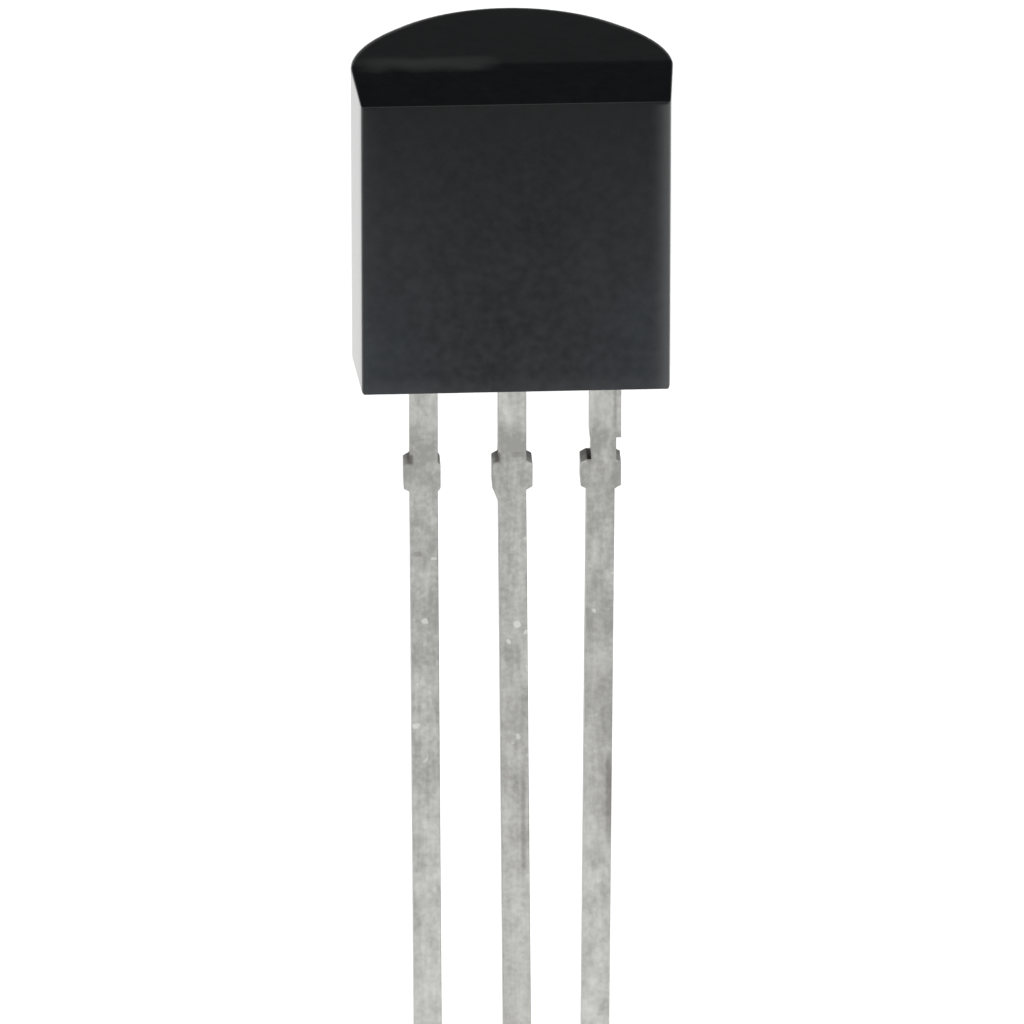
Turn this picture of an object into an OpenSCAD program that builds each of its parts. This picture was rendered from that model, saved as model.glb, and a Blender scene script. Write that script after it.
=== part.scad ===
// Temperature sensor: a silicon sensor moulded into a small D-shaped package on three leads.
// Millimetres, +Z up, leads pointing down. The origin is where the centre lead leaves the
// body: on the parting plane that runs through the leads, level with the underside.
// The flat face looks toward -Y, the rounded back toward +Y.

/* [Body] */
// Width across the parting plane
body_w = 4.58; // [4.3:0.01:5.2]
// Height from the underside to the top, at the parting plane
body_h = 4.58; // [4.4:0.01:5.3]
// Depth of the front half, from the parting plane to the flat face
front_depth = 1.3; // [1:0.01:1.4]
// Depth of the rounded back half
back_depth = 2.3; // [1.9:0.01:2.6]
// Draft of the top and the underside, in degrees
end_draft = 1.6; // [1:0.1:4]
// Draft of the two narrow side walls, in degrees
side_draft = 4.4; // [1:0.1:6]
// Radius of the two corners beside the flat face
corner_r = 0.18; // [0.05:0.01:0.4]
// Radius of the top and bottom edges of the flat face
face_edge_r = 0.05; // [0.03:0.01:0.15]

/* [Leads] */
// Distance between neighbouring leads
lead_pitch = 1.27; // [1.2:0.01:1.35]
// Width of a lead
lead_w = 0.4; // [0.35:0.01:0.48]
// Thickness of the lead frame
lead_t = 0.38; // [0.3:0.01:0.42]
// Length of a lead below the body
lead_length = 14.47; // [12.7:0.01:20]
// Bevel round the cut tip of a lead
tip_bevel = 0.05; // [0.02:0.01:0.1]

/* [Dambar stubs] */
// Distance from the body down to the stubs
stub_drop = 1.59; // [1.4:0.01:2]
// Height of a stub
stub_h = 0.47; // [0.4:0.01:0.9]
// How far a stub stands out from the side of its lead
stub_out = 0.09; // [0.05:0.01:0.15]
// Slope at a stub's corners
stub_corner = 0.05; // [0.02:0.01:0.1]
// How much closer the left lead's inner stub is sheared
close_shear = 0.05; // [0:0.01:0.08]
// How far the torn edge under the centre lead's left stub runs down
torn_drop = 0.2; // [0.1:0.01:0.3]

/* [Right lead's neck] */
// Width of the shoulder under the body
shoulder_w = 0.45; // [0.4:0.01:0.5]
// Height of the shoulder below the body
shoulder_h = 1.25; // [0.6:0.01:1.3]
// How far the shoulder sits outward of the lead's middle line
shoulder_shift = 0.065; // [0:0.005:0.08]
// Width of the waist between the shoulder and the stubs
waist_w = 0.36; // [0.3:0.01:0.4]
// How far the waist sits outward of the lead's middle line
waist_shift = 0.04; // [0:0.005:0.06]

/* [Lean] */
// Lean of the left lead below its stub, in degrees toward +X
lean_left = 0.3; // [-1:0.05:1]
// Lean of the centre lead
lean_centre = 0.5; // [-1:0.05:1]
// Lean of the right lead
lean_right = -0.35; // [-1:0.05:1]

/* [Lead frame inside] */
// Height at which the side leads widen into their posts
post_z = 0.7; // [0.5:0.01:0.9]
// Height of a post
post_h = 1.15; // [0.9:0.01:1.3]
// Width of a post
post_w = 0.62; // [0.5:0.01:0.75]
// Gap between the posts and the die paddle above them
post_gap = 0.25; // [0.15:0.01:0.4]
// Width of the die paddle
paddle_w = 1.9; // [1.6:0.01:2.3]
// Height of the die paddle
paddle_h = 1.75; // [1.5:0.01:1.9]
// Radius of the notches that lock the leads into the moulding
lock_r = 0.11; // [0.06:0.01:0.13]

/* [Die] */
// Width of the die
die_w = 1.1; // [0.8:0.01:1.3]
// Height of the die
die_h = 1.2; // [0.9:0.01:1.25]
// Thickness of the die
die_t = 0.25; // [0.15:0.01:0.3]
// Height of the bare paddle below the die's bottom edge
die_raise = 0.38; // [0.32:0.01:0.42]
// Thickness of the adhesive under the die
attach_t = 0.03; // [0.02:0.005:0.05]
// How far the adhesive spreads past the die's edge
attach_spread = 0.08; // [0.03:0.01:0.1]

/* [Bond wires] */
// Diameter of a bond wire
wire_d = 0.038; // [0.025:0.001:0.05]
// Rise of a wire's arch above the straight line between its ends
wire_rise = 0.16; // [0.1:0.01:0.2]
// Diameter of the bond at each end of a wire
bond_d = 0.1; // [0.07:0.01:0.13]
// Thickness of the bond at each end of a wire
bond_t = 0.05; // [0.05:0.005:0.06]
// Distance from the die's edges to the centres of its bond pads
pad_inset = 0.14; // [0.08:0.01:0.2]
// Distance from the top of a post to the centre of its bond
post_bond_drop = 0.22; // [0.15:0.01:0.35]
// Distance from the bottom of the paddle to the centre of its bond
paddle_bond_rise = 0.14; // [0.1:0.01:0.18]

/* [Hidden] */

arc_steps = 96;
small_arc_steps = 32;

// The rounded back is one arc through both ends of the parting plane and its own middle.
back_r = (body_w * body_w / 4 + back_depth * back_depth) / (2 * back_depth);
flat_w = body_w - 2 * front_depth * tan(side_draft);
// Blanks for cutting run past the body by this much.
overrun = 1;

front_face = lead_t / 2;
stub_bottom = stub_drop + stub_h;
post_top = post_z + post_h;
paddle_z = post_top + post_gap;

die_z = paddle_z + die_raise;
attach_front = front_face + attach_t;
die_front = attach_front + die_t;
pad_z = die_z + pad_inset;
pad_x = die_w / 2 - pad_inset;

function unit(v) = v / norm(v);
function bend(a, b, c) = acos(unit(a - b) * unit(c - b));

// A polygon with true arcs of radii[i] at its convex corners points[i].
module rounded_polygon(points, radii) {
    count = len(points);
    before = [for (i = [0 : count - 1]) points[(i + count - 1) % count]];
    after = [for (i = [0 : count - 1]) points[(i + 1) % count]];
    half = [for (i = [0 : count - 1]) bend(before[i], points[i], after[i]) / 2];
    polygon([
        for (i = [0 : count - 1])
            for (toward = radii[i] > 0 ? [before[i], after[i]] : [points[i]])
                radii[i] > 0
                    ? points[i] + unit(toward - points[i]) * radii[i] / tan(half[i])
                    : points[i]
    ]);
    for (i = [0 : count - 1])
        if (radii[i] > 0)
            translate(points[i] + unit(unit(before[i] - points[i]) + unit(after[i] - points[i]))
                      * radii[i] / sin(half[i]))
                circle(r = radii[i], $fn = small_arc_steps);
}

// The body seen from above: a drafted front with rounded corners and a round back.
module plan_outline() {
    rounded_polygon(
        [[-body_w / 2, 0], [-flat_w / 2, -front_depth], [flat_w / 2, -front_depth], [body_w / 2, 0]],
        [0, corner_r, corner_r, 0]);
    intersection() {
        translate([0, back_depth - back_r]) circle(r = back_r, $fn = arc_steps);
        translate([-body_w, 0]) square([2 * body_w, back_depth + overrun]);
    }
}

// The body seen from the side: both ends fall away from the parting plane.
module side_outline() {
    front_fall = front_depth * tan(end_draft);
    back_end = back_depth + overrun;
    back_fall = back_end * tan(end_draft);
    rounded_polygon(
        [[0, 0], [back_end, back_fall], [back_end, body_h - back_fall], [0, body_h],
         [-front_depth, body_h - front_fall], [-front_depth, front_fall]],
        [0, 0, 0, 0, face_edge_r, face_edge_r]);
}

module moulding() {
    intersection() {
        linear_extrude(body_h) plan_outline();
        rotate([90, 0, 90])
            linear_extrude(body_w + 2 * overrun, center = true) side_outline();
    }
}

module body() {
    color([0.09, 0.095, 0.105])
        difference() {
            moulding();
            lead_left();
            lead_centre();
            lead_right();
            die_attach();
            die();
            bond_wire_left();
            bond_wire_centre();
            bond_wire_right();
        }
}

// One side of a lead from its tip up to the top of its stub. The x values are measured outward
// from the lead's middle line, lean carries the part below the stub sideways, and torn is how
// far the stub's lower edge slopes down past its bottom.
function lead_side(out, lean, torn) =
    let (sag = tan(lean))
    [[lead_w / 2 - tip_bevel + sag * (lead_length - stub_bottom), -lead_length],
     [lead_w / 2 + sag * (lead_length - tip_bevel - stub_bottom), tip_bevel - lead_length],
     [lead_w / 2 + sag * torn, -stub_bottom - torn],
     [lead_w / 2 + out, stub_corner - stub_bottom],
     [lead_w / 2 + out, -stub_drop - stub_corner],
     [lead_w / 2, -stub_drop]];

function mirrored(points) = [for (i = [len(points) - 1 : -1 : 0]) [-points[i][0], points[i][1]]];

// The stamped outline of a lead from its tip up to the top of its stubs.
module lead_outline(left_out, right_out, lean, left_torn = 0) {
    polygon(concat(lead_side(right_out, lean, 0), mirrored(lead_side(left_out, -lean, left_torn))));
}

// A straight stretch of a lead above its stubs, between the heights low and high.
module neck(width, shift, low, high) {
    translate([shift - width / 2, low]) square([width, high - low]);
}

// A side lead's post, with a lock notch in each edge.
module post_outline() {
    difference() {
        translate([-post_w / 2, post_z]) square([post_w, post_h]);
        for (side = [-1, 1])
            translate([side * post_w / 2, post_z + post_h / 2])
                circle(r = lock_r, $fn = small_arc_steps);
    }
}

// The centre lead's stem and die paddle, with a lock notch in each edge of the paddle.
module paddle_outline() {
    difference() {
        translate([-paddle_w / 2, paddle_z]) square([paddle_w, paddle_h]);
        for (side = [-1, 1])
            translate([side * paddle_w / 2, paddle_z + paddle_h / 2])
                circle(r = lock_r, $fn = small_arc_steps);
    }
}

// Stands a stamped outline upright, at the lead frame's thickness.
module stamped(x) {
    color([0.66, 0.66, 0.64])
        translate([x, 0, 0])
            rotate([90, 0, 0]) linear_extrude(lead_t, center = true) children();
}

module lead_left() {
    stamped(-lead_pitch) {
        lead_outline(stub_out, stub_out - close_shear, lean_left);
        neck(lead_w, 0, -stub_bottom, post_z);
        post_outline();
    }
}

module lead_centre() {
    stamped(0) {
        lead_outline(stub_out, stub_out, lean_centre, torn_drop);
        neck(lead_w, 0, -stub_bottom, paddle_z);
        paddle_outline();
    }
}

module lead_right() {
    stamped(lead_pitch) {
        lead_outline(stub_out, stub_out, lean_right);
        neck(waist_w, waist_shift, -stub_bottom, post_z);
        neck(shoulder_w, shoulder_shift, -shoulder_h, post_z);
        post_outline();
    }
}

// A flat block on the lead frame's front: its back lies at depth near, its front at depth far.
module frame_block(width, low, height, near, far) {
    translate([-width / 2, -far, low]) cube([width, far - near, height]);
}

module die_attach() {
    color([0.72, 0.72, 0.7])
        frame_block(die_w + 2 * attach_spread, die_z - attach_spread,
                    die_h + 2 * attach_spread, front_face, attach_front);
}

module die() {
    color([0.3, 0.32, 0.38]) frame_block(die_w, die_z, die_h, attach_front, die_front);
}

module bond(x, z, surface) {
    translate([x, -surface, z]) rotate([90, 0, 0]) cylinder(d = bond_d, h = bond_t, $fn = small_arc_steps);
}

// A wire that arches from the die's pad at [x, z] = from to the lead frame at [x, z] = to.
module bond_wire(from, to) {
    start_height = die_front + bond_t / 2;
    end_height = front_face + bond_t / 2;
    run = norm(to - from);
    fall = start_height - end_height;
    chord = norm([run, fall]);
    arch_r = (chord * chord / 4 + wire_rise * wire_rise) / (2 * wire_rise);
    half_turn = asin(chord / 2 / arch_r);
    middle = (from + to) / 2;
    color([0.86, 0.68, 0.3]) {
        bond(from[0], from[1], die_front);
        bond(to[0], to[1], front_face);
        translate([middle[0], -(start_height + end_height) / 2, middle[1]])
            rotate([0, -atan2(to[1] - from[1], to[0] - from[0]), 0])
                rotate([0, 0, atan2(fall, run) - 90])
                    translate([wire_rise - arch_r, 0, 0])
                        rotate([0, 0, -half_turn])
                            rotate_extrude(angle = 2 * half_turn, $fn = arc_steps)
                                translate([arch_r, 0]) circle(d = wire_d, $fn = 16);
    }
}

module bond_wire_left() {
    bond_wire([-pad_x, pad_z], [-lead_pitch, post_top - post_bond_drop]);
}

module bond_wire_centre() {
    bond_wire([0, pad_z], [0, paddle_z + paddle_bond_rise]);
}

module bond_wire_right() {
    bond_wire([pad_x, pad_z], [lead_pitch, post_top - post_bond_drop]);
}

body();
lead_left();
lead_centre();
lead_right();
die();
die_attach();
bond_wire_left();
bond_wire_centre();
bond_wire_right();
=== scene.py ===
"""Finishes the temperature sensor: the rounded moulding, the tinned leads, the pieces
sealed inside, and a plain studio round them."""

import math

import bmesh
import bpy
from bpy.props import FloatProperty, FloatVectorProperty, IntProperty, PointerProperty
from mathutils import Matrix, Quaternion, Vector


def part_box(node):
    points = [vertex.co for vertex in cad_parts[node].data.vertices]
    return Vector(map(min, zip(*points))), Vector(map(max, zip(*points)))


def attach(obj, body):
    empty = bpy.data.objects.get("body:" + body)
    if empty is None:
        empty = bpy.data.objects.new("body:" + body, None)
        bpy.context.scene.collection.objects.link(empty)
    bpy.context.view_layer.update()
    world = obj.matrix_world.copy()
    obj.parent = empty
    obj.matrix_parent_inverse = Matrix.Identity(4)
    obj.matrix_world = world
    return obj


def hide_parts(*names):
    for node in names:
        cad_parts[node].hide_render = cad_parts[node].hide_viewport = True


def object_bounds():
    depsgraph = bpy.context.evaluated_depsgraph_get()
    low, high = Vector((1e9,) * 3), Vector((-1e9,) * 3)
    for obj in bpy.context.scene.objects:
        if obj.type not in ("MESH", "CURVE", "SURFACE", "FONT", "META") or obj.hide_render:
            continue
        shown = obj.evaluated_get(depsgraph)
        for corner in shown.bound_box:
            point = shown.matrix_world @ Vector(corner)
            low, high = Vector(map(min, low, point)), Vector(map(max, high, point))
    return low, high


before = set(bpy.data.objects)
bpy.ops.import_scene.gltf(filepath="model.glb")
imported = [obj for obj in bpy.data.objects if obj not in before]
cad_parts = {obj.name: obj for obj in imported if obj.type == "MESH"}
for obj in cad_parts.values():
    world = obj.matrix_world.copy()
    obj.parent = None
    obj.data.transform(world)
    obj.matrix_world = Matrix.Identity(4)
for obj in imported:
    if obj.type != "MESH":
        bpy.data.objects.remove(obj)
cad_low, cad_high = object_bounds()

bl_info = {
    "name": "Temperature sensor finish",
    "version": (1, 0, 0),
    "blender": (4, 5, 0),
    "location": "View3D > Sidebar > Sensor",
    "description": "Rounds, dresses and lights a three-lead moulded temperature sensor",
    "category": "Object",
}

MM = 0.001
# Points closer than this are one point.
TOUCH = 0.0001 * MM
LEADS = ("lead_left", "lead_centre", "lead_right")
WIRES = ("bond_wire_left", "bond_wire_centre", "bond_wire_right")

# Dark patches on each lead, in millimetres: middle x and z, half width, half height and strength. Each
# lead's first patch is painted shade on the sheared top of its left stub. Painted shade also runs in thin
# lines down the right edges of the centre and right leads, and as a short painted shadow line at the
# centre lead's stub level. The rest are real dark spots and dull areas.
MARKS_AND_SHADE = (
    (
        # Painted shade on the sheared top of the left stub.
        (-1.475, -1.54, 0.035, 0.08, 0.85),
        (-1.36, -3.05, 0.05, 0.04, 0.3),
        (-1.345, -7.2, 0.01, 2.2, 0.1),
    ),
    (
        # Painted shade on the sheared top of the left stub.
        (-0.215, -1.54, 0.035, 0.08, 0.8),
        # Painted shadow line at the stub level.
        (0.08, -1.49, 0.08, 0.04, 0.3),
        # Painted shade down the lead's right edge.
        (0.162, -7.4, 0.02, 0.9, 0.32),
        (0.03, -6.7, 0.25, 1.4, 0.1),
        (0.07, -12, 0.25, 2.4, 0.14),
    ),
    (
        # Painted shade on the sheared top of the left stub.
        (1.095, -1.54, 0.03, 0.07, 0.55),
        # Painted shade down the lead's right edge, below the body.
        (1.474, -0.45, 0.012, 0.65, 0.4),
        # Painted shade down the lead's right edge.
        (1.4, -7.05, 0.035, 0.65, 0.35),
        (1.26, -1.82, 0.25, 0.22, 0.09),
        (1.25, -5.95, 0.25, 1.5, 0.15),
    ),
)

body_low, body_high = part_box("body")


def length(name, description, millimetres, low=0.0, high=100.0):
    """A length property, held in metres and given here in millimetres."""
    return FloatProperty(
        name=name,
        description=description,
        default=millimetres * MM,
        min=low * MM,
        max=high * MM,
        subtype="DISTANCE",
        unit="LENGTH",
        precision=6,
    )


def angle(name, description, degrees):
    return FloatProperty(
        name=name,
        description=description,
        default=math.radians(degrees),
        subtype="ANGLE",
        unit="ROTATION",
    )


def amount(name, description, default, high=1.0):
    return FloatProperty(name=name, description=description, default=default, min=0.0, max=high)


def colour(name, description, rgb):
    return FloatVectorProperty(
        name=name, description=description, default=rgb, size=3, min=0.0, max=1.0, subtype="COLOR"
    )


class SensorMoulding(bpy.types.PropertyGroup):
    """Sizes and finish of the epoxy moulding."""

    end_draft: angle("End draft", "Fall of the top and the underside away from the parting plane", 1.6)
    side_draft: angle("Side draft", "Draft of the two narrow side walls", 4.4)
    rim_radius: length("Rim radius", "Rounding along the curved rims of the back", 0.3)
    side_radius: length("Side radius", "Rounding along the short rims beside the flat face", 0.03)
    corner_radius: length("Corner radius", "Rounding down the two corners beside the flat face", 0.1)
    face_radius: length("Face radius", "Rounding along the top and the bottom of the flat face", 0.016)
    rim_growth: length("Rim growth", "Depth over which the curved rims' rounding grows", 1.6, 0.1)
    side_steps: IntProperty(
        name="Side steps",
        description="Points along a side, closer together near the parting plane",
        default=6,
        min=2,
        max=24,
    )
    back_steps: IntProperty(
        name="Back steps",
        description="Facets round the rounded back",
        default=96,
        min=16,
        max=256,
    )
    # The lead-end epoxy colour is paler than the gate-end one as painted light, so the moulding is
    # lighter toward the leads.
    epoxy: colour("Epoxy", "Colour of the filled epoxy at the gate end", (0.001, 0.0011, 0.0012))
    epoxy_low: colour("Low epoxy", "Colour of the epoxy at the lead end", (0.0115, 0.0137, 0.0165))
    filler: colour("Filler", "Colour of filler that shows at the skin", (0.024, 0.0265, 0.03))
    # Paler colour of the painted highlight on the corners beside the flat face, its lower edge and the
    # side walls.
    painted_highlight: colour("Worn", "Colour of the worn corners and side walls", (0.075, 0.076, 0.077))
    scuff: colour("Scuff", "Colour of the rubbed parting line", (0.014, 0.0146, 0.0146))
    roughness: amount("Roughness", "Roughness of the spark-eroded mould finish", 0.2)
    side_roughness: amount("Side roughness", "Roughness of the polished side walls", 0.05)
    specular: amount("Specular", "Strength of the surface reflection", 0.155)
    side_specular: amount("Side specular", "Strength of the reflection on the side walls", 0.6)


class SensorLeads(bpy.types.PropertyGroup):
    """Sizes and finish of the stamped leads."""

    edge_radius: length("Edge radius", "Rounding that stamping and plating leave on an edge", 0.035)
    tin: colour("Tin", "Colour of the matt tin plating", (0.51, 0.51, 0.49))
    tin_dull: colour("Dull tin", "Colour of the plating where it has dulled", (0.26, 0.26, 0.248))
    # Dark colour of sheared copper, also used for the painted shade on the leads.
    copper_and_shade: colour("Sheared copper", "Colour of darkened copper where it shows", (0.09, 0.08, 0.07))
    roughness: amount("Roughness", "Roughness of the plating", 0.42)
    pitch: length("Pitch", "Distance between neighbouring leads", 1.27)
    stub_top: length("Stub top", "Height of the sheared tops of the dambar stubs", -1.59, -10, 0)


class SensorInside(bpy.types.PropertyGroup):
    """Finish of the pieces sealed in the moulding."""

    silicon: colour("Silicon", "Colour of the polished die", (0.12, 0.13, 0.17))
    circuit: colour("Circuit", "Colour of the metal lines on the die", (0.55, 0.5, 0.42))
    circuit_pitch: length("Circuit pitch", "Distance between the lines on the die", 0.06, 0.01, 1)
    adhesive: colour("Adhesive", "Colour of the silver-filled adhesive", (0.5, 0.5, 0.47))
    gold: colour("Gold", "Colour of the bond wires", (0.8, 0.55, 0.2))


class SensorStage(bpy.types.PropertyGroup):
    """The camera, the floor, the light and the room."""

    azimuth: angle("Azimuth", "Camera's turn round the sensor", -2.7)
    elevation: angle("Elevation", "Camera's height above the horizon", 26.1)
    roll: angle("Roll", "Camera's roll", 0.03)
    distance: length("Distance", "From the camera to the point it looks at", 250, 1, 2000)
    lens: FloatProperty(
        name="Lens", description="Focal length in millimetres", default=611.7, min=50, max=1000
    )
    aim_x: length("Aim across", "Sideways place of the point the camera looks at", 0.003, -10, 10)
    aim_z: length("Aim height", "Height of the point the camera looks at", -2.498, -20, 20)
    floor_colour: colour("Floor", "Colour of the floor", (0.9, 0.9, 0.895))
    key_power: amount("Key light", "Power of the softbox above the camera, in watts", 8.4, 100.0)
    floor_radius: length("Floor radius", "Radius of the lit floor", 120, 50, 3000)
    room: colour("Room", "Light of the room round the horizon", (0.33, 0.33, 0.33))
    ceiling: colour("Ceiling", "Light of the room overhead", (0.01, 0.01, 0.011))


# ---------------------------------------------------------------- shader and node helpers


class Graph:
    """Adds nodes to a tree by type and wires them by socket name."""

    def __init__(self, tree):
        self.tree = tree

    def add(self, kind, settings=None, **inputs):
        node = self.tree.nodes.new(kind)
        for key, value in (settings or {}).items():
            setattr(node, key, value)
        for key, value in inputs.items():
            self.feed(node, key.replace("_", " "), value)
        return node

    def feed(self, node, name, value):
        socket = name
        if isinstance(name, str):
            socket = next(s for s in node.inputs if s.name == name and s.enabled)
        if isinstance(value, bpy.types.NodeSocket):
            self.tree.links.new(value, socket)
        else:
            socket.default_value = value

    def math(self, operation, *values, clamp=False):
        node = self.tree.nodes.new("ShaderNodeMath")
        node.operation = operation
        node.use_clamp = clamp
        for socket, value in zip(node.inputs, values):
            self.feed(node, socket, value)
        return node.outputs[0]


def new_material(name):
    material = bpy.data.materials.new(name)
    material.use_nodes = True
    material.node_tree.nodes.clear()
    graph = Graph(material.node_tree)
    shader = graph.add("ShaderNodeBsdfPrincipled")
    output = graph.add("ShaderNodeOutputMaterial")
    graph.tree.links.new(shader.outputs[0], output.inputs["Surface"])
    coords = graph.add("ShaderNodeTexCoord").outputs["Object"]
    return material, graph, shader, coords


def grain(graph, coords, size_mm, detail=3.0, stretch=(1, 1, 1)):
    """Noise with features about size_mm across, as a value from 0 to 1."""
    mapping = graph.add("ShaderNodeMapping", Vector=coords, Scale=stretch)
    scale = 1 / (size_mm * MM)
    noise = graph.add("ShaderNodeTexNoise", Vector=mapping.outputs[0], Scale=scale, Detail=detail)
    return noise.outputs["Fac"]


def ramp(graph, value, low, high):
    """0 below low, 1 above high, straight between them."""
    node = graph.add("ShaderNodeMapRange", Value=value, From_Min=low, From_Max=high)
    return node.outputs["Result"]


def blend(graph, factor, first, second):
    """A colour between two others, by the colour sockets of a Mix node."""
    node = graph.add("ShaderNodeMix", {"data_type": "RGBA"})
    graph.feed(node, node.inputs["Factor"], factor)
    for socket, value in ((node.inputs[6], first), (node.inputs[7], second)):
        graph.feed(node, socket, value if isinstance(value, bpy.types.NodeSocket) else (*value, 1.0))
    return node.outputs[2]


def mix(graph, factor, first, second):
    """A value between two others."""
    return graph.math("MULTIPLY_ADD", factor, graph.math("SUBTRACT", second, first), first)


def bump(graph, height, strength, depth_mm, normal=None):
    node = graph.add("ShaderNodeBump", Height=height, Strength=strength, Distance=depth_mm * MM)
    if normal is not None:
        graph.feed(node, "Normal", normal)
    return node.outputs["Normal"]


# ---------------------------------------------------------------- materials


def epoxy_material(look):
    """Black filled epoxy: fine spark-eroded grain, mottling, painted light toward the leads, a painted
    highlight on the corners, the lower edge and the side walls, and a rubbed parting line.
    """
    material, graph, shader, coords = new_material("moulded_epoxy")
    place = graph.add("ShaderNodeSeparateXYZ", Vector=coords)
    mottle = grain(graph, coords, 0.5, 5.0)
    speck = grain(graph, coords, 0.14, 3.0)

    # Painted light: the epoxy is painted paler toward the leads.
    base = epoxy_with_painted_light(graph, look, place, mottle, speck)
    walls = side_walls(graph, place)
    # Painted highlight: the corners, the lower edge of the flat face and the side walls are blended
    # toward a paler colour.
    painted_highlight = graph.math("MAXIMUM", painted_edge_highlight(graph, place), walls)
    base = blend(graph, painted_highlight, base, look.painted_highlight)
    rubbed = rubbed_line(graph, place, mottle)
    graph.feed(shader, "Base Color", blend(graph, rubbed, base, look.scuff))

    rough = graph.math("MULTIPLY_ADD", mottle, 0.12, look.roughness - 0.06)
    rough = graph.math("MULTIPLY_ADD", rubbed, 0.3, rough)
    graph.feed(shader, "Roughness", mix(graph, walls, rough, look.side_roughness))
    graph.feed(shader, "Specular IOR Level", mix(graph, walls, look.specular, look.side_specular))
    waves = bump(graph, mottle, 0.15, 0.008)
    graph.feed(shader, "Normal", bump(graph, speck, 0.2, 0.004, waves))
    return material


def epoxy_with_painted_light(graph, look, place, mottle, speck):
    """The epoxy's colour, paler toward the leads and, lower down, toward the sides: painted light, over
    filler specks that show more toward the leads.
    """
    drop = ramp(graph, place.outputs["Z"], body_high.z, body_low.z)
    across = graph.math("ABSOLUTE", place.outputs["X"])
    painted_light_share = graph.math("MULTIPLY_ADD", ramp(graph, across, 0.5 * MM, 2 * MM), 0.65, 0.22)
    painted_light_share = graph.math("MULTIPLY_ADD", ramp(graph, mottle, 0.35, 0.7), 0.3, painted_light_share)
    painted_light_share = graph.math("MULTIPLY_ADD", painted_light_share, drop, 0.08)
    base = blend(graph, painted_light_share, look.epoxy, look.epoxy_low)
    shown = graph.math("MULTIPLY_ADD", drop, 0.42, 0.05)
    pale = graph.math("MULTIPLY", ramp(graph, speck, 0.3, 0.75), shown)
    return blend(graph, pale, base, look.filler)


def below_top(graph, place):
    """0 on the top and its rims, 1 below them."""
    rim, wall = body_high.z - 0.06 * MM, body_high.z - 0.1 * MM
    return ramp(graph, place.outputs["Z"], rim, wall)


def side_walls(graph, place):
    """1 on the two narrow side walls, 0 elsewhere."""
    begin, full = body_high.x - 0.12 * MM, body_high.x - 0.06 * MM
    aside = ramp(graph, graph.math("ABSOLUTE", place.outputs["X"]), begin, full)
    front = ramp(graph, place.outputs["Y"], 0.2 * MM, 0)
    return graph.math("MULTIPLY", graph.math("MULTIPLY", aside, front), below_top(graph, place))


def painted_edge_highlight(graph, place):
    """A painted highlight down the two corners beside the flat face, stronger on +X, and painted light
    along the face's lower edge.
    """
    inner, outer = 1.82 * MM, 2.2 * MM
    right = graph.math("POWER", ramp(graph, place.outputs["X"], inner, outer), 3.0)
    left = graph.math("POWER", ramp(graph, place.outputs["X"], -inner, -outer), 2.0)
    right = graph.math("MULTIPLY", right, 0.9)
    left = graph.math("MULTIPLY", left, 0.08)
    corners = graph.math("MAXIMUM", right, left)
    lower = graph.math("MULTIPLY", ramp(graph, place.outputs["Z"], 0.3 * MM, 0.05 * MM), 0.12)
    front = ramp(graph, place.outputs["Y"], -1.0 * MM, -1.2 * MM)
    where = graph.math("MULTIPLY", front, below_top(graph, place))
    return graph.math("MULTIPLY", graph.math("ADD", corners, lower), where)


def rubbed_line(graph, place, mottle):
    """Where the parting line is rubbed on the top: an uneven strip along one half of the ridge."""
    middle_x, middle_y = -1.2 * MM, 0.07 * MM
    wander = graph.math("MULTIPLY_ADD", mottle, 0.5 * MM, -0.25 * MM)
    x = graph.math("ADD", place.outputs["X"], wander)
    y = graph.math("ADD", place.outputs["Y"], graph.math("MULTIPLY", wander, 0.4))
    along = ramp(graph, graph.math("ABSOLUTE", graph.math("SUBTRACT", x, middle_x)), 1.05 * MM, 0.7 * MM)
    across = ramp(graph, graph.math("ABSOLUTE", graph.math("SUBTRACT", y, middle_y)), 0.3 * MM, 0.1 * MM)
    top = ramp(graph, place.outputs["Z"], body_high.z - 0.3 * MM, body_high.z - 0.2 * MM)
    strip = graph.math("MULTIPLY", graph.math("MULTIPLY", across, along), top)
    return graph.math("MULTIPLY", strip, ramp(graph, mottle, 0.0, 0.65))


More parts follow.
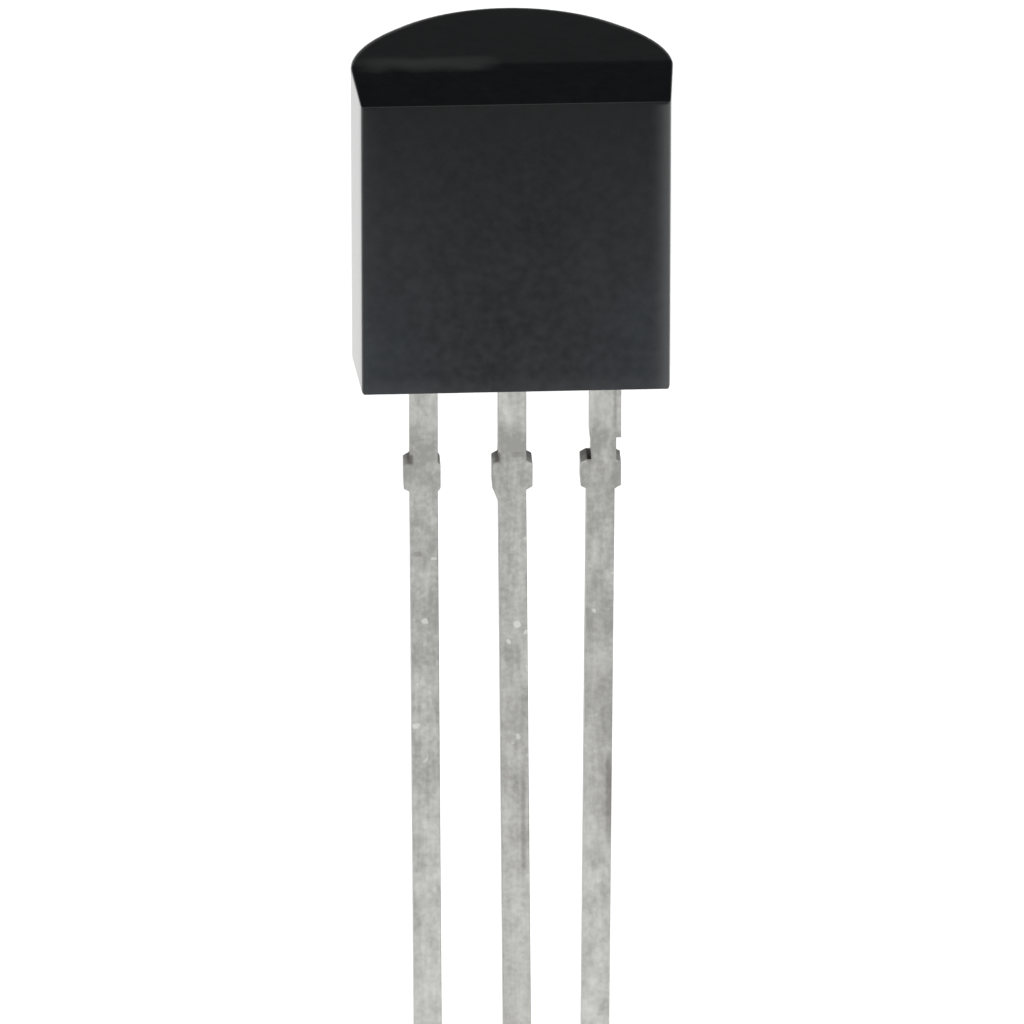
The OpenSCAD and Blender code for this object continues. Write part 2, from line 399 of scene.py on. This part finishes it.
def tin_material(look, seed):
    """Matt tin plating: dullest at the stubs, with drawn streaks, blotches, nicks, dark spots and painted
    shade.
    """
    material, graph, shader, coords = new_material("matt_tin_" + str(seed))
    moved = graph.add("ShaderNodeMapping", Vector=coords, Location=(0, seed * 5 * MM, 0)).outputs[0]
    place = graph.add("ShaderNodeSeparateXYZ", Vector=coords)
    height = place.outputs["Z"]
    blotch = grain(graph, moved, 0.3, 4.0, (1, 1, 0.6))
    streak = grain(graph, moved, 0.06, 2.0, (1, 1, 0.1))
    fine = grain(graph, moved, 0.08, 3.0)
    from_stubs = graph.math("ABSOLUTE", graph.math("SUBTRACT", height, look.stub_top))

    shine = shine_by_height(graph, height, from_stubs)
    shine = graph.math("MULTIPLY_ADD", ramp(graph, blotch, 0.35, 0.65), 0.45, shine)
    shine = graph.math("MULTIPLY_ADD", ramp(graph, fine, 0.3, 0.7), 0.35, shine)
    shine = graph.math("MULTIPLY_ADD", ramp(graph, streak, 0.3, 0.7), 0.2, shine)
    shine = graph.math("MULTIPLY_ADD", nicks(graph, moved, height), 0.6, shine, clamp=True)
    base = blend(graph, shine, look.tin_dull, look.tin)
    # Real dark spots and painted shade on the lead, blended toward the dark colour.
    dark = marks(graph, place, MARKS_AND_SHADE[seed])
    graph.feed(shader, "Base Color", blend(graph, dark, base, look.copper_and_shade))

    middle_x = (seed - 1) * look.pitch
    sheared = sheared_tops(graph, place.outputs["X"], middle_x, from_stubs)
    graph.feed(shader, "Metallic", mix(graph, sheared, 1.0, 0.2))
    rough = graph.math("MULTIPLY_ADD", blotch, 0.2, look.roughness - 0.1)
    graph.feed(shader, "Roughness", mix(graph, sheared, rough, 0.8))
    ridges = bump(graph, streak, 0.2, 0.004)
    graph.feed(shader, "Normal", bump(graph, fine, 0.3, 0.003, ridges))
    return material


def shine_by_height(graph, height, from_stubs):
    """Brightness of the plating: more near the body and low down, less round the stubs."""
    above = graph.math("MULTIPLY", ramp(graph, height, -1.2 * MM, -0.8 * MM), 0.25)
    below = graph.math("MULTIPLY", ramp(graph, height, -4.5 * MM, -12 * MM), 0.43)
    dull = graph.math("MULTIPLY", ramp(graph, from_stubs, 0.6 * MM, 0.3 * MM), -0.13)
    return graph.math("ADD", graph.math("ADD", above, below), graph.math("SUBTRACT", dull, 0.2))


def nicks(graph, coords, height):
    """Small bright nicks where the leads are handled, below the stubs."""
    begin = ramp(graph, height, -2.4 * MM, -3 * MM)
    end = ramp(graph, height, -7.2 * MM, -6.2 * MM)
    spots = ramp(graph, grain(graph, coords, 0.14, 0.0), 0.76, 0.8)
    return graph.math("MULTIPLY", spots, graph.math("MULTIPLY", begin, end))


def sheared_tops(graph, x, middle_x, from_stubs):
    """1 on the sheared tops of a lead's stubs, which stand beside the lead, 0 elsewhere."""
    level = ramp(graph, from_stubs, 0.06 * MM, 0.05 * MM)
    aside = graph.math("ABSOLUTE", graph.math("SUBTRACT", x, middle_x))
    return graph.math("MULTIPLY", level, ramp(graph, aside, 0.19 * MM, 0.2 * MM))


def marks(graph, place, boxes):
    """Dark patches with soft edges, each given as a row of MARKS_AND_SHADE: real dark spots and painted
    shade.
    """
    total = 0.0
    for x, z, wide, high, strength in boxes:
        aside = graph.math("ABSOLUTE", graph.math("SUBTRACT", place.outputs["X"], x * MM))
        aside = ramp(graph, aside, (wide + 0.03) * MM, (wide - 0.01) * MM)
        apart = graph.math("ABSOLUTE", graph.math("SUBTRACT", place.outputs["Z"], z * MM))
        apart = ramp(graph, apart, high * 1.3 * MM, high * 0.7 * MM)
        mark = graph.math("MULTIPLY", aside, apart)
        total = graph.math("MULTIPLY_ADD", mark, strength, total, clamp=True)
    return total


def silicon_material(look):
    """Polished silicon with fine metal lines along its circuit blocks."""
    material, graph, shader, coords = new_material("silicon_die")
    blocks = graph.add(
        "ShaderNodeTexBrick",
        {"offset": 0.5},
        Vector=turned(graph, coords),
        Scale=1 / look.circuit_pitch,
        Mortar_Size=0.03,
        Color1=(0, 0, 0, 1),
        Color2=(0.35, 0.35, 0.35, 1),
        Mortar=(1, 1, 1, 1),
    )
    lines = graph.add("ShaderNodeSeparateColor", Color=blocks.outputs["Color"]).outputs[0]
    graph.feed(shader, "Base Color", blend(graph, lines, look.silicon, look.circuit))
    graph.feed(shader, "Metallic", 0.6)
    graph.feed(shader, "Roughness", graph.math("MULTIPLY_ADD", grain(graph, coords, 0.1), 0.2, 0.1))
    return material


def turned(graph, coords):
    """Coordinates with the part's X and Z laid in the texture's plane."""
    x, y, z = graph.add("ShaderNodeSeparateXYZ", Vector=coords).outputs
    return graph.add("ShaderNodeCombineXYZ", X=x, Y=z, Z=y).outputs[0]


def adhesive_material(look):
    """Cured adhesive full of silver flakes."""
    material, graph, shader, coords = new_material("silver_adhesive")
    flakes = ramp(graph, grain(graph, coords, 0.02, 2.0), 0.45, 0.6)
    between = [c * 0.7 for c in look.adhesive]
    graph.feed(shader, "Base Color", blend(graph, flakes, between, look.adhesive))
    graph.feed(shader, "Metallic", 0.8)
    graph.feed(shader, "Roughness", graph.math("MULTIPLY_ADD", flakes, -0.2, 0.6))
    graph.feed(shader, "Normal", bump(graph, flakes, 0.5, 0.004))
    return material


def gold_material(look):
    """Drawn gold wire, with a faint grain along it."""
    material, graph, shader, coords = new_material("bond_gold")
    drawn = grain(graph, coords, 0.03, 2.0)
    graph.feed(shader, "Base Color", blend(graph, drawn, [c * 0.85 for c in look.gold], look.gold))
    graph.feed(shader, "Metallic", 1.0)
    graph.feed(shader, "Roughness", graph.math("MULTIPLY_ADD", drawn, 0.2, 0.15))
    return material


def floor_material(stage):
    material, graph, shader, coords = new_material("floor")
    graph.feed(shader, "Base Color", (*stage.floor_colour, 1.0))
    graph.feed(shader, "Roughness", 0.9)
    graph.feed(shader, "Specular IOR Level", 0.1)
    return material


# ---------------------------------------------------------------- geometry helpers


def mesh_object(name, bm):
    mesh = bpy.data.meshes.new(name)
    bm.to_mesh(mesh)
    bm.free()
    made = bpy.data.objects.new(name, mesh)
    bpy.context.scene.collection.objects.link(made)
    return made


def node_tree(name, sockets):
    """A geometry tree with a Geometry input, the named inputs and one Geometry output."""
    tree = bpy.data.node_groups.new(name, "GeometryNodeTree")
    tree.interface.new_socket("Geometry", in_out="INPUT", socket_type="NodeSocketGeometry")
    for label, kind in sockets:
        tree.interface.new_socket(label, in_out="INPUT", socket_type=kind)
    tree.interface.new_socket("Geometry", in_out="OUTPUT", socket_type="NodeSocketGeometry")
    graph = Graph(tree)
    return tree, graph, graph.add("NodeGroupInput"), graph.add("NodeGroupOutput")


def close_tree(graph, geometry, material, output):
    real = graph.add("GeometryNodeRealizeInstances", Geometry=geometry)
    dressed = graph.add("GeometryNodeSetMaterial", Geometry=real.outputs[0], Material=material)
    graph.tree.links.new(dressed.outputs[0], output.inputs[0])


def run_tree(piece, tree, **values):
    """Puts the tree on the piece with its named inputs set, and leaves the modifier live."""
    modifier = piece.modifiers.new(tree.name, "NODES")
    modifier.node_group = tree
    for item in tree.interface.items_tree:
        key = item.name.replace(" ", "_").lower()
        if item.in_out == "INPUT" and key in values:
            modifier[item.identifier] = values[key]


def settle(piece):
    """Turns the piece and its modifiers into one plain mesh."""
    graph = bpy.context.evaluated_depsgraph_get()
    plain = bpy.data.meshes.new_from_object(piece.evaluated_get(graph), depsgraph=graph)
    piece.modifiers.clear()
    piece.data = plain
    plain.name = piece.name


def round_edges(piece, radius_at, segments, clamp, sharp_from=30):
    """Rounds the edges sharper than sharp_from degrees, each by radius_at(its middle, its direction)."""
    bm = bmesh.new()
    bm.from_mesh(piece.data)
    weights = bm.edges.layers.float.new("bevel_weight_edge")
    radii = {}
    for edge in bm.edges:
        if edge.calc_face_angle(0) > math.radians(sharp_from):
            first, second = (v.co for v in edge.verts)
            radii[edge] = radius_at((first + second) / 2, (second - first).normalized())
    largest = max(radii.values())
    for edge, radius in radii.items():
        edge[weights] = radius / largest
    for face in bm.faces:
        face.smooth = True
    bm.to_mesh(piece.data)
    bm.free()
    bevel = piece.modifiers.new("rounding", "BEVEL")
    bevel.width = largest
    bevel.segments = segments
    bevel.limit_method = "WEIGHT"
    bevel.use_clamp_overlap = clamp
    weld = piece.modifiers.new("weld", "WELD")
    weld.merge_threshold = 0.001 * MM
    shading = piece.modifiers.new("shading", "WEIGHTED_NORMAL")
    shading.weight = 100
    settle(piece)


def hand_over(piece, node):
    """Rides the piece on the one body and lets it stand for its CAD node."""
    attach(piece, "root")
    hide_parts(node)


# ---------------------------------------------------------------- moulding


def extrude_closed(graph, faces, along, depth):
    """Faces swept along a direction into a closed solid, with outward normals."""
    swept = graph.add(
        "GeometryNodeExtrudeMesh", Mesh=faces, Offset=along, Offset_Scale=depth, Individual=False
    )
    base = graph.add("GeometryNodeFlipFaces", Mesh=faces)
    both = graph.add("GeometryNodeJoinGeometry")
    graph.tree.links.new(swept.outputs["Mesh"], both.inputs[0])
    graph.tree.links.new(base.outputs[0], both.inputs[0])
    return graph.add("GeometryNodeMergeByDistance", Geometry=both.outputs[0], Distance=TOUCH).outputs[0]


def drafted_tree():
    """Raises a plan outline into a block whose ends fall away from the parting plane at y = 0."""
    tree, graph, given, output = node_tree(
        "drafted_moulding",
        [
            ("Height", "NodeSocketFloat"),
            ("End Draft", "NodeSocketFloat"),
            ("Material", "NodeSocketMaterial"),
        ],
    )
    block = extrude_closed(graph, given.outputs["Geometry"], (0, 0, 1), given.outputs["Height"])
    place = graph.add("ShaderNodeSeparateXYZ", Vector=graph.add("GeometryNodeInputPosition").outputs[0])
    slope = graph.math("TANGENT", given.outputs["End Draft"])
    fall = graph.math("MULTIPLY", graph.math("ABSOLUTE", place.outputs["Y"]), slope)
    up = graph.math("DIVIDE", place.outputs["Z"], given.outputs["Height"])
    shift = graph.math("MULTIPLY", fall, graph.math("MULTIPLY_ADD", up, -2.0, 1.0))
    offset = graph.add("ShaderNodeCombineXYZ", Z=shift)
    moved = graph.add("GeometryNodeSetPosition", Geometry=block, Offset=offset.outputs[0])
    close_tree(graph, moved.outputs[0], given.outputs["Material"], output)
    return tree


def plan_faces(look):
    """The moulding seen from above, as a front face and a back face that meet on the parting line."""
    half = (body_high.x - body_low.x) / 2
    front, back = -body_low.y, body_high.y
    flat = half - front * math.tan(look.side_draft)
    arc_r = (half**2 + back**2) / (2 * back)
    reach = math.asin(half / arc_r)
    bm = bmesh.new()
    arc = []
    for step in range(look.back_steps + 1):
        turn = reach - 2 * reach * step / look.back_steps
        arc.append(bm.verts.new((arc_r * math.sin(turn), back - arc_r + arc_r * math.cos(turn), 0)))

    def side(sign):
        """From the parting plane to the flat face, in growing steps."""
        parts = [(step / look.side_steps) ** 2 for step in range(1, look.side_steps + 1)]
        return [bm.verts.new((sign * (half + (flat - half) * part), -front * part, 0)) for part in parts]

    bm.faces.new(arc)
    bm.faces.new([arc[-1], *side(-1), *reversed(side(1)), arc[0]])
    return bm


class SENSOR_OT_moulding(bpy.types.Operator):
    """Builds the rounded epoxy moulding over the body"""

    bl_idname = "sensor.moulding"
    bl_label = "Moulding"

    def execute(self, context):
        look = context.scene.sensor_moulding
        piece = mesh_object("moulding", plan_faces(look))
        run_tree(
            piece,
            drafted_tree(),
            height=body_high.z - body_low.z,
            end_draft=look.end_draft,
            material=epoxy_material(look),
        )
        settle(piece)

        def radius_at(middle, along):
            """Down the corners, along the flat face's ends, or along a rim that grows toward the back."""
            if abs(along.z) > 0.5:
                return look.corner_radius
            if abs(along.x) > 0.9 and middle.y < 0:
                return look.face_radius
            grown = min(max(middle.y / look.rim_growth, 0), 1)
            return look.side_radius + (look.rim_radius - look.side_radius) * grown

        round_edges(piece, radius_at, 6, clamp=False)
        hand_over(piece, "body")
        return {"FINISHED"}


# ---------------------------------------------------------------- leads


def stamped_tree():
    """Gives a stamped outline the thickness of the lead frame."""
    tree, graph, given, output = node_tree(
        "stamped_strip", [("Thickness", "NodeSocketFloat"), ("Material", "NodeSocketMaterial")]
    )
    strip = extrude_closed(graph, given.outputs["Geometry"], (0, 1, 0), given.outputs["Thickness"])
    close_tree(graph, strip, given.outputs["Material"], output)
    return tree


def stamped_outline(node):
    """The front outline of a stamped CAD node, facing +Y and as few faces as it needs."""
    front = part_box(node)[0].y
    bm = bmesh.new()
    bm.from_mesh(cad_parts[node].data)
    bmesh.ops.remove_doubles(bm, verts=bm.verts, dist=TOUCH)
    others = [f for f in bm.faces if any(abs(v.co.y - front) > TOUCH for v in f.verts)]
    bmesh.ops.delete(bm, geom=others, context="FACES")
    bmesh.ops.dissolve_limit(bm, angle_limit=math.radians(1), verts=bm.verts, edges=bm.edges)
    bmesh.ops.reverse_faces(bm, faces=bm.faces)
    return bm


class SENSOR_OT_leads(bpy.types.Operator):
    """Builds the three tinned leads from their stamped outlines"""

    bl_idname = "sensor.leads"
    bl_label = "Leads"

    def execute(self, context):
        look = context.scene.sensor_leads
        tree = stamped_tree()
        for seed, node in enumerate(LEADS):
            low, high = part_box(node)
            piece = mesh_object("tinned_" + node, stamped_outline(node))
            run_tree(piece, tree, thickness=high.y - low.y, material=tin_material(look, seed))
            settle(piece)
            round_edges(piece, lambda middle, along: look.edge_radius, 3, clamp=True)
            hand_over(piece, node)
        return {"FINISHED"}


# ---------------------------------------------------------------- inside


class SENSOR_OT_inside(bpy.types.Operator):
    """Dresses the die, its adhesive and the bond wires, whose CAD shapes stay"""

    bl_idname = "sensor.inside"
    bl_label = "Inside"

    def execute(self, context):
        look = context.scene.sensor_inside
        gold = gold_material(look)
        finishes = {"die": silicon_material(look), "die_attach": adhesive_material(look)}
        finishes.update(dict.fromkeys(WIRES, gold))
        for node, material in finishes.items():
            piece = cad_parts[node]
            for slot in piece.material_slots:
                slot.material = material
        return {"FINISHED"}


# ---------------------------------------------------------------- stage


def softbox(place, size, power):
    """A square light above the camera, turned to the part's origin."""
    light = bpy.data.lights.new("key_softbox", "AREA")
    light.shape = "SQUARE"
    light.size = size
    light.energy = power
    made = bpy.data.objects.new("key_softbox", light)
    made.location = place
    made.rotation_euler = (-Vector(place)).to_track_quat("-Z", "Y").to_euler()
    bpy.context.scene.collection.objects.link(made)


def studio_world(stage):
    """A dim room, brighter toward the horizon, seen as plain white where it shows past the floor."""
    world = bpy.data.worlds.new("studio")
    bpy.context.scene.world = world
    world.use_nodes = True
    world.node_tree.nodes.clear()
    graph = Graph(world.node_tree)
    direction = graph.add("ShaderNodeTexCoord").outputs["Generated"]
    height = graph.add("ShaderNodeSeparateXYZ", Vector=direction).outputs["Z"]
    fade = graph.math("POWER", ramp(graph, height, 0.6, 0.2), 2.2)
    room = blend(graph, fade, stage.ceiling, stage.room)
    seen = graph.add("ShaderNodeLightPath").outputs["Is Camera Ray"]
    shown = blend(graph, seen, room, (1, 1, 1))
    background = graph.add("ShaderNodeBackground", Color=shown)
    output = graph.add("ShaderNodeOutputWorld")
    graph.tree.links.new(background.outputs[0], output.inputs[0])


class SENSOR_OT_stage(bpy.types.Operator):
    """Sets the floor, the light, the room and the camera"""

    bl_idname = "sensor.stage"
    bl_label = "Stage"

    def execute(self, context):
        scene = context.scene
        stage = scene.sensor_stage
        scene.view_settings.view_transform = "Standard"

        bm = bmesh.new()
        bmesh.ops.create_circle(bm, cap_ends=True, segments=96, radius=stage.floor_radius)
        bmesh.ops.translate(bm, verts=bm.verts, vec=(0, 0, cad_low.z))
        floor = mesh_object("floor", bm)
        floor.data.materials.append(floor_material(stage))

        key_place = (-60 * MM, -260 * MM, 340 * MM)
        key_size = 1000 * MM
        softbox(key_place, key_size, stage.key_power)
        studio_world(stage)

        camera = bpy.data.objects.new("camera", bpy.data.cameras.new("camera"))
        scene.collection.objects.link(camera)
        scene.camera = camera
        camera.data.sensor_width = 36
        camera.data.lens = stage.lens
        camera.data.clip_start = 0.01
        camera.data.clip_end = 10
        back = Vector((
            math.sin(stage.azimuth) * math.cos(stage.elevation),
            -math.cos(stage.azimuth) * math.cos(stage.elevation),
            math.sin(stage.elevation),
        ))
        turn = (-back).to_track_quat("-Z", "Y") @ Quaternion((0, 0, 1), stage.roll)
        camera.rotation_mode = "QUATERNION"
        camera.rotation_quaternion = turn
        camera.location = Vector((stage.aim_x, 0, stage.aim_z)) + back * stage.distance
        return {"FINISHED"}


class SENSOR_PT_finish(bpy.types.Panel):
    """Lists the steps and their settings in the sidebar"""

    bl_idname = "SENSOR_PT_finish"
    bl_label = "Sensor finish"
    bl_space_type = "VIEW_3D"
    bl_region_type = "UI"
    bl_category = "Sensor"

    def draw(self, context):
        for step, group in STEPS:
            box = self.layout.box()
            box.operator(step)
            settings = getattr(context.scene, group)
            for key in settings.__annotations__:
                box.prop(settings, key)


GROUPS = {
    "sensor_moulding": SensorMoulding,
    "sensor_leads": SensorLeads,
    "sensor_inside": SensorInside,
    "sensor_stage": SensorStage,
}
OPERATORS = (SENSOR_OT_moulding, SENSOR_OT_leads, SENSOR_OT_inside, SENSOR_OT_stage)
STEPS = tuple(zip((kind.bl_idname for kind in OPERATORS), GROUPS))


def register():
    for kind in (*GROUPS.values(), *OPERATORS, SENSOR_PT_finish):
        bpy.utils.register_class(kind)
    for name, group in GROUPS.items():
        setattr(bpy.types.Scene, name, PointerProperty(type=group))


def unregister():
    for name in GROUPS:
        delattr(bpy.types.Scene, name)
    for kind in (SENSOR_PT_finish, *OPERATORS, *GROUPS.values()):
        bpy.utils.unregister_class(kind)


def main():
    register()
    bpy.ops.sensor.moulding()
    bpy.ops.sensor.leads()
    bpy.ops.sensor.inside()
    bpy.ops.sensor.stage()


if __name__ == "__main__":
    main()
